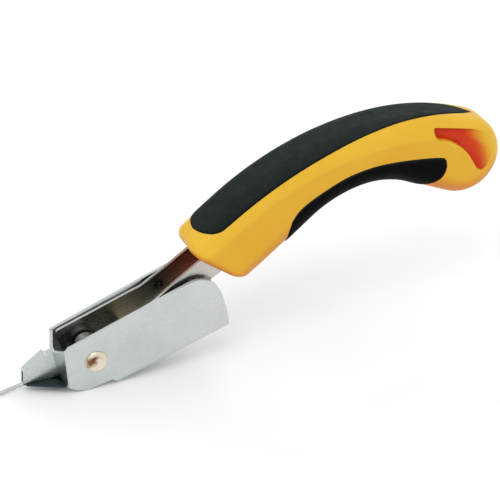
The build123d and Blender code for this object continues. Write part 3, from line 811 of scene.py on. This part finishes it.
def plated(name, light, dark, roughness, grain=(1, 9, 9), stain_and_shade=None):
    """Nickel or chrome plating over brushed sheet, with faint clouds and fine scratches."""
    material, tree, shader = new_material(name, light, roughness, 1.0)
    clouds = span(tree, noise(tree, 11.0, 4.0), 0.3, 0.7)
    base = mix(tree, clouds, dark, light)
    specks = span(tree, noise(tree, 0.9, 2.0, roughness=0.4), 0.73, 0.79)
    base = mix(tree, specks, base, (0.28, 0.27, 0.25))
    # An optional pass paints the material's marks over the base colour: tarnish and painted shade.
    if stain_and_shade:
        base = stain_and_shade(tree, base)
    tree.links.new(base, shader.inputs["Base Color"])
    brushed = noise(tree, 1.6, 4.0, grain, 0.6)
    tree.links.new(span(tree, brushed, 0.25, 0.75, roughness - 0.05, roughness + 0.08),
                   shader.inputs["Roughness"])
    first = bump(tree, shader, noise(tree, 0.9, 3.0, grain), 0.004, 0.6)
    bump(tree, shader, noise(tree, 14.0, 2.0), 0.05, 0.5, first)
    return material


def distance_from(tree, x, z):
    """Distance, seen from the side, from a point of the side frame."""
    centre = tuple(to_row([(x, 0, z)])[0])
    away = node(tree, "ShaderNodeVectorMath", {0: object_coords(tree), 1: centre}, operation="SUBTRACT")
    flat = node(tree, "ShaderNodeVectorMath", {0: away.outputs[0], 1: (1, 0, 1)}, operation="MULTIPLY")
    return node(tree, "ShaderNodeVectorMath", {0: flat.outputs[0]}, operation="LENGTH").outputs["Value"]


def math_node(tree, operation, first, second=0.5):
    return node(tree, "ShaderNodeMath", {0: first, 1: second}, operation=operation).outputs[0]


def rivet_tarnish_and_shade(tree, base):
    """Brown tarnish with painted shade in the dished middle of the head, darkest to the upper front, where
    the dish's upper wall is shaded.
    """
    distance = distance_from(tree, -1.4, 0.8)
    wobble = span(tree, noise(tree, 1.6, 3.0), 0.2, 0.8, -0.0008, 0.0008)
    total = math_node(tree, "ADD", distance, wobble)
    return mix(tree, span(tree, total, 0.0026, 0.0013), base, (0.2, 0.085, 0.04))


def channel_tarnish_and_shade(tree, base):
    """Oily tarnish with painted shade on the channel's inner faces: dark green at the mouth, brown in the
    middle, dark again at the knee, and red-brown towards the handle, a painted reflection of the handle. A
    painted dark spot round the small hole stands in for shade there.
    """
    place = node(tree, "ShaderNodeSeparateXYZ", {"Vector": object_coords(tree)})
    stations = to_row([(-3, 0, 2), (9, 0, 4), (29, 0, 7), (46, 0, 14)])
    mouth, middle, knee, rear = [float(x) for x in stations[:, 0]]
    opening = span(tree, place.outputs["X"], mouth, middle)
    tint = mix(tree, opening, (0.17, 0.215, 0.19), (0.6, 0.54, 0.42))
    tint = mix(tree, span(tree, place.outputs["X"], middle, knee), tint, (0.15, 0.15, 0.125))
    tint = mix(tree, span(tree, place.outputs["X"], knee, rear), tint, (0.42, 0.19, 0.12))
    side = math_node(tree, "ABSOLUTE", place.outputs["Y"])
    within = span(tree, side, (LEVER_INNER_HALF + 0.3) * MM, (LEVER_INNER_HALF - 0.1) * MM)
    patchy = span(tree, noise(tree, 3.0, 4.0, (1, 5, 5)), 0.2, 0.7, 0.6, 0.95)
    base = mix(tree, math_node(tree, "MULTIPLY", within, patchy), base, tint)
    distance = distance_from(tree, *SMALL_HOLE_AT)
    return mix(tree, span(tree, distance, 0.0026, 0.0013), base, (0.07, 0.055, 0.045))


def front_painted_shade(tree, base):
    """Painted shade: dark on the webs under the nose, thinning out up over the folded front."""
    place = node(tree, "ShaderNodeSeparateXYZ", {"Vector": object_coords(tree)})
    web_end = PIVOT.x + WEB_REAR * MM
    ahead = span(tree, place.outputs["X"], web_end + 0.4 * MM, web_end)
    low = span(tree, place.outputs["Z"], (WEB_TOP + 0.3) * MM, WEB_TOP * MM)
    shade_fade = span(tree, place.outputs["Z"], (WEB_TOP + 2.5) * MM, (WEB_TOP + 0.1) * MM, 0.0, 0.55)
    wobble = span(tree, noise(tree, 2.5, 4.0), 0.3, 0.65, 0.2, 1.0)
    thin = math_node(tree, "MULTIPLY", shade_fade, wobble)
    amount = math_node(tree, "MULTIPLY", math_node(tree, "MAXIMUM", low, thin), ahead)
    return mix(tree, amount, base, (0.035, 0.05, 0.055))


YELLOW = yellow_plastic()
RUBBER = black_rubber()
PLATED = plated("satin_nickel_sheet", (0.61, 0.65, 0.64), (0.55, 0.59, 0.58), 0.27, stain_and_shade=front_painted_shade)
LEVER_PLATED = plated("satin_nickel_lever", (0.6, 0.61, 0.59), (0.5, 0.5, 0.48), 0.24, stain_and_shade=channel_tarnish_and_shade)
BLADE = plated("ground_blade_steel", (0.6, 0.615, 0.61), (0.5, 0.515, 0.51), 0.26, (9, 9, 1))
RIVET = plated("rivet_nickel", (0.8, 0.735, 0.6), (0.73, 0.65, 0.5), 0.3, (4, 1, 4), rivet_tarnish_and_shade)
SPRING = plated("spring_wire", (0.26, 0.26, 0.26), (0.17, 0.17, 0.17), 0.33, (2, 2, 2))
ZINC = plated("zinc_steel", (0.3, 0.305, 0.3), (0.2, 0.205, 0.2), 0.34, (3, 3, 3))
SCREW = plated("blackened_screw", (0.2, 0.2, 0.21), (0.12, 0.12, 0.13), 0.36, (3, 3, 3))

# ================= Handle pieces =================
place_half("handle_shell_near", -1, False, YELLOW)
place_half("handle_shell_far", 1, True, YELLOW)

FROM_ABOVE = ((0, 1), 0, 2.2)            # the axes a point is given on, and the w it lies between
FROM_THE_SIDE = ((0, 2), 2.0, 4.0)

TOP_FRONT = [(47.8, 0.0), (48.3, 3.0), (49.6, 5.8), (51.9, 7.9)]
TOP_SIDE = [(51.9, 7.9), (54.4, 8.8), (57.8, 9.1), (75.0, 9.2), (96.0, 8.8), (112.0, 7.8), (125.0, 6.6),
            (138.0, 5.1), (148.0, 3.1), (153.4, 0.0)]
top_front = on_skin(TOP_FRONT, 12, *FROM_ABOVE)
top_side = on_skin(TOP_SIDE, 90, *FROM_ABOVE)
top_middle = np.stack([np.linspace(top_front[0, 0], top_side[-1, 0], 60), np.zeros(60)], 1)
along_shares = edge_shares(130, True, True, 104.0)
across_shares = edge_shares(14, False, True, 9.4)
top_patch = coons(top_front, top_side[-1:].repeat(2, 0), top_middle, top_side, along_shares, across_shares)
grip("grip_top", top_patch, edge_distance(top_patch, np.vstack([top_front, top_side])), RUBBER)

LOW_FRONT = [(74.2, 7.9), (75.1, 10.2), (76.3, 13.2), (78.4, 16.6)]
LOW_TOP = [(78.4, 16.6), (82.0, 19.2), (88.0, 21.0), (98.6, 22.5), (106.0, 22.3), (113.5, 20.9),
           (122.0, 18.0), (130.0, 14.6), (134.6, 12.3), (136.0, 11.3)]
LOW_REAR = [(136.0, 11.3), (136.5, 9.6), (136.0, 7.4), (134.3, 5.0), (131.6, 3.4), (128.4, 2.9), (125.6, 3.4)]
low_front = on_skin(LOW_FRONT, 14, *FROM_THE_SIDE)
low_front = np.vstack([[(low_front[0, 0] - 0.1, 5.0)], [(low_front[0, 0] - 0.1, 4.5)],
                       [(low_front[0, 0], 4.05)], low_front])
low_top = on_skin(LOW_TOP, 70, *FROM_THE_SIDE)
low_rear = on_skin(LOW_REAR, 30, *FROM_THE_SIDE)
low_rear = np.vstack([low_rear, [(low_rear[-1, 0] - 1.2, 4.3)], [(low_rear[-1, 0] - 1.8, 4.65)],
                      [(low_rear[-1, 0] - 2.0, 5.0)]])
low_middle = np.stack([np.linspace(low_front[0, 0], low_rear[-1, 0], 60), np.full(60, 5.0)], 1)
low_patch = coons(low_front, low_rear[::-1], low_middle, low_top,
                  edge_shares(100, True, True, 62.0), edge_shares(34, False, True, 20.0))
grip("grip_bottom", low_patch, edge_distance(low_patch, np.vstack([low_front, low_top, low_rear])), RUBBER)


# ================= Sheet metal: the CAD's own plates with their edges broken =================
def softened(name, body, material, width_mm, angle=32):
    """A copy of a CAD node with merged points, clean flats and rounded edges."""
    bm = bmesh.new()
    bm.from_mesh(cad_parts[name].data)
    bmesh.ops.remove_doubles(bm, verts=bm.verts, dist=2e-6)
    bmesh.ops.dissolve_limit(bm, angle_limit=math.radians(0.4), verts=bm.verts, edges=bm.edges,
                             use_dissolve_boundaries=False)
    bmesh.ops.recalc_face_normals(bm, faces=bm.faces)
    sharp = [e for e in bm.edges if len(e.link_faces) == 2 and e.calc_face_angle(0) > math.radians(angle)]
    bmesh.ops.bevel(bm, geom=sharp, offset=width_mm * MM, offset_type="OFFSET", segments=3, profile=0.5,
                    affect="EDGES", clamp_overlap=True, loop_slide=True, miter_outer="SHARP",
                    miter_inner="SHARP")
    bmesh.ops.remove_doubles(bm, verts=bm.verts, dist=1e-6)
    bmesh.ops.dissolve_degenerate(bm, edges=bm.edges, dist=1e-7)
    bmesh.ops.triangulate(bm, faces=[f for f in bm.faces if len(f.verts) > 4])
    mesh = bpy.data.meshes.new(name + "_sheet")
    bm.to_mesh(mesh)
    bm.free()
    mesh.polygons.foreach_set("use_smooth", [True] * len(mesh.polygons))
    mesh.set_sharp_from_angle(angle=math.radians(50))
    mesh.materials.append(material)
    piece = add_object(name + "_sheet", mesh)
    modifier = piece.modifiers.new("weighted", "WEIGHTED_NORMAL")
    modifier.keep_sharp = True
    modifier.weight = 80
    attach(piece, body)
    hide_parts(name)
    return piece


softened("jaw_housing", "housing", PLATED, 0.16)
softened("lever", "lever", LEVER_PLATED, 0.14)
softened("blade", "lever", BLADE, 0.1)


# ================= Turned pieces =================
def lathe(name, profile, centre, material, body, segments=80, steps=5, closed=True, round_mm=0.1):
    """Turns a (radius, y) profile about an axis across the tool; its corners are rounded."""
    profile = [np.asarray(p, float) for p in profile]
    count = len(profile)
    line = []
    for k, p in enumerate(profile):
        if not closed and k in (0, count - 1):
            line.append(p)
            continue
        before, after = profile[k - 1], profile[(k + 1) % count]
        reach = [min(round_mm, 0.45 * np.linalg.norm(q - p)) for q in (before, after)]
        a = p + (before - p) / np.linalg.norm(before - p) * reach[0]
        b = p + (after - p) / np.linalg.norm(after - p) * reach[1]
        for t in np.linspace(0, 1, steps):
            line.append((1 - t) ** 2 * a + 2 * t * (1 - t) * p + t ** 2 * b)
    if closed:
        line.append(line[0])
    turn = np.linspace(0, 2 * math.pi, segments, endpoint=False)
    points = [(centre[0] + r * math.cos(a), y, centre[1] + r * math.sin(a)) for r, y in line for a in turn]
    return make_piece(name + "_turned", points, grid_faces(len(line), segments, True), material, body,
                      sharp=45, stands_for=(name,))


# (radius, height over the plate) from the middle of each rivet head to its rim; the near one is dished
NEAR_HEAD = [(0, -0.2), (1.1, -0.15), (1.5, 0.05), (2.1, 0.42), (2.55, 0.66), (3.1, 0.78), (3.62, 0.64),
             (3.9, 0.3), (RIVET_HEAD, 0.02)]
FAR_HEAD = [(0, 0.9), (RIVET_RADIUS, 0.88), (3.1, 0.75), (RIVET_HEAD - 0.1, 0.35), (RIVET_HEAD, 0.02)]
SHANK_INSET = 0.05
rivet_profile = [(radius, -PLATE_HALF - height) for radius, height in NEAR_HEAD]
rivet_profile += [(RIVET_RADIUS, -PLATE_HALF + SHANK_INSET), (RIVET_RADIUS, PLATE_HALF - SHANK_INSET)]
rivet_profile += [(radius, PLATE_HALF + height) for radius, height in FAR_HEAD[::-1]]
lathe("pivot_rivet", rivet_profile, (0, 0), RIVET, "housing", closed=False, round_mm=0.25)


def ring_profile(inner, outer, start, end, side):
    """Section of a ring about the pivot, between two distances from the mid-plane."""
    return [(inner, side * start), (outer, side * start), (outer, side * end), (inner, side * end)]


for side_name, side in (("near", -1), ("far", 1)):
    washer = ring_profile(2.05, 4.48, PLATE_INNER_HALF - 0.28, PLATE_INNER_HALF - 0.02, side)
    lathe("washer_" + side_name, washer, (0, 0), ZINC, "housing", round_mm=0.08)
    sleeve = ring_profile(2.08, 2.68, BLADE_HALF + 0.03, LEVER_INNER_HALF - 0.03, side)
    lathe("sleeve_" + side_name, sleeve, (0, 0), ZINC, "lever", round_mm=0.12)
pin_end = LEVER_HALF - 0.02
lathe("blade_pin", [(0, -pin_end), (BLADE_PIN_RADIUS, -pin_end), (BLADE_PIN_RADIUS, pin_end), (0, pin_end)],
      BLADE_PIN_AT, ZINC, "lever", closed=False, round_mm=0.3)

# (radius, y) from the middle of the head to the point
SCREW_PROFILE = [(0, 10.05), (0.9, 10.0), (1.7, 9.8), (2.15, 9.3), (2.18, 8.42), (1.05, 8.42), (1.05, -5.0),
                 (0.3, -5.9), (0, -5.95)]
CROSS_LENGTH = 1.25                      # half sizes of the cross at the top of its cutter
CROSS_WIDTH = 0.24
CROSS_TAPER = 0.55
CROSS_FLOOR = 9.15
CROSS_TOP = 10.6
CORNERS = ((-1, -1), (1, -1), (1, 1), (-1, 1))
BOX_FACES = ((0, 1, 2, 3), (7, 6, 5, 4), (0, 4, 5, 1), (1, 5, 6, 2), (2, 6, 7, 3), (3, 7, 4, 0))


def screw(name, centre):
    """A pan-head screw driven from the far side, its cross slot cut out."""
    piece = lathe(name, SCREW_PROFILE, centre, SCREW, "lever", closed=False, segments=40,
                  round_mm=0.2)
    bm = bmesh.new()
    for half_x, half_z in ((CROSS_LENGTH, CROSS_WIDTH), (CROSS_WIDTH, CROSS_LENGTH)):
        corners = []
        for y, size in ((CROSS_FLOOR, CROSS_TAPER), (CROSS_TOP, 1)):
            corners += [(centre[0] + a * half_x * size, y, centre[1] + b * half_z * size) for a, b in CORNERS]
        verts = [bm.verts.new(p) for p in to_row(corners)]
        for face in BOX_FACES:
            bm.faces.new([verts[k] for k in face])
    bmesh.ops.recalc_face_normals(bm, faces=bm.faces)
    cutter_mesh = bpy.data.meshes.new("cross_cutter")
    bm.to_mesh(cutter_mesh)
    bm.free()
    cutter = add_object("cross_cutter", cutter_mesh)
    modifier = piece.modifiers.new("cross", "BOOLEAN")
    modifier.object = cutter
    modifier.operation = "DIFFERENCE"
    modifier.solver = "EXACT"
    modifier.use_self = True
    bpy.context.view_layer.update()
    cut = bpy.data.meshes.new_from_object(piece.evaluated_get(bpy.context.evaluated_depsgraph_get()))
    piece.modifiers.clear()
    piece.data = cut
    cut.set_sharp_from_angle(angle=math.radians(35))
    bpy.data.objects.remove(cutter)


for screw_name, screw_at in zip(SCREW_NAMES, SCREWS_AT):
    screw(screw_name, screw_at)

# ================= Return spring =================
WIRE = 0.45
COIL = 3.5
COIL_PITCH = 1.0
COIL_TURNS = 2
COIL_START = 1.6
BODY_END = (17.0, -10.75)
LEVER_END = (19.0, -1.35)
COIL_STEPS = 150
WIRE_STEPS = 420
WIRE_SIDES = 16
WIRE_END_SIZES = (0.55, 0.85, 1)


def tangent_angle(end, upper):
    heading = math.atan2(end[1], end[0])
    opening = math.acos(COIL / math.hypot(*end))
    return heading + opening if upper else heading - opening


coil_from = tangent_angle(BODY_END, True)
coil_turn = COIL_TURNS * 2 * math.pi + (tangent_angle(LEVER_END, False) - coil_from) % (2 * math.pi)
coil_rise = COIL_PITCH * coil_turn / (2 * math.pi)
wire_path = [(BODY_END[0], COIL_START + coil_rise, BODY_END[1])]
for share in np.linspace(0, 1, COIL_STEPS):
    angle = coil_from + coil_turn * share
    wire_path.append((COIL * math.cos(angle), COIL_START + coil_rise * (1 - share), COIL * math.sin(angle)))
wire_path.append((LEVER_END[0], COIL_START, LEVER_END[1]))
wire_path = resample(wire_path, WIRE_STEPS)
direction = np.gradient(wire_path, axis=0)
direction /= np.linalg.norm(direction, axis=1)[:, None]
sideways = np.cross(direction, (0, 1, 0))
sideways /= np.linalg.norm(sideways, axis=1)[:, None]
upwards = np.cross(sideways, direction)
ring = np.linspace(0, 2 * math.pi, WIRE_SIDES, endpoint=False)
ends = np.ones(WIRE_STEPS)
ends[:3] = WIRE_END_SIZES
ends[-3:] = WIRE_END_SIZES[::-1]
wire_points = [tuple(c + (u * math.cos(a) + v * math.sin(a)) * WIRE * k)
               for c, u, v, k in zip(wire_path, sideways, upwards, ends) for a in ring]
wire_faces = grid_faces(WIRE_STEPS, WIRE_SIDES, True)
wire_faces += [tuple(range(WIRE_SIDES)), tuple(range((WIRE_STEPS - 1) * WIRE_SIDES, WIRE_STEPS * WIRE_SIDES))]
wire = make_piece("return_spring_wire", wire_points, wire_faces, SPRING, None, sharp=60,
                  stands_for=("return_spring",))
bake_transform(wire)

# ================= Stage, light and camera =================
FLOOR_HALF = 6
FLOOR_Z = -0.0002
floor_material, floor_tree, floor_shader = new_material("pale_floor", (0.9, 0.9, 0.9), 0.7)
floor_clouds = span(floor_tree, noise(floor_tree, 60.0, 2.0), 0.3, 0.7)
floor_tone = mix(floor_tree, floor_clouds, (0.89, 0.89, 0.89), (0.92, 0.92, 0.92))
floor_tree.links.new(floor_tone, floor_shader.inputs["Base Color"])
floor_mesh = bpy.data.meshes.new("floor")
floor_corners = [(a * FLOOR_HALF, b * FLOOR_HALF, FLOOR_Z) for a, b in CORNERS]
floor_mesh.from_pydata(floor_corners, [], [(0, 1, 2, 3)])
floor_mesh.materials.append(floor_material)
floor = add_object("floor", floor_mesh)

world = bpy.data.worlds.new("soft_studio")
world.use_nodes = True
world.node_tree.nodes["Background"].inputs["Color"].default_value = (1.0, 1.0, 1.0, 1)
world.node_tree.nodes["Background"].inputs["Strength"].default_value = 0.95
bpy.context.scene.world = world
bpy.context.scene.view_settings.view_transform = "Standard"


def soft_light(name, at, size, power, target=(0, 0, 0.03)):
    data = bpy.data.lights.new(name, "AREA")
    data.shape = "RECTANGLE"
    data.size, data.size_y = size
    data.energy = power
    lamp = add_object(name, data)
    lamp.location = at
    lamp.rotation_euler = (Vector(target) - Vector(at)).to_track_quat("-Z", "Y").to_euler()


soft_light("key", (-0.25, -0.35, 0.75), (0.5, 0.4), 1.6)
soft_light("rim", (0.35, 0.55, 0.5), (0.5, 0.3), 1.0)

camera_data = bpy.data.cameras.new("camera")
camera_data.sensor_width = 36.0
camera_data.lens = 140.4
camera_data.clip_start = 0.02
camera_data.clip_end = 20.0
camera = add_object("camera", camera_data)
right = Vector((0.924, -0.3824, 0.0037)).normalized()
back = Vector((-0.329, -0.79, 0.5173)).normalized()
right = (right - back * right.dot(back)).normalized()
up = back.cross(right)
turned = Matrix((right, up, back)).transposed().to_4x4()
camera.matrix_world = Matrix.Translation((-0.218155, -0.5235, 0.3788)) @ turned
bpy.context.scene.camera = camera
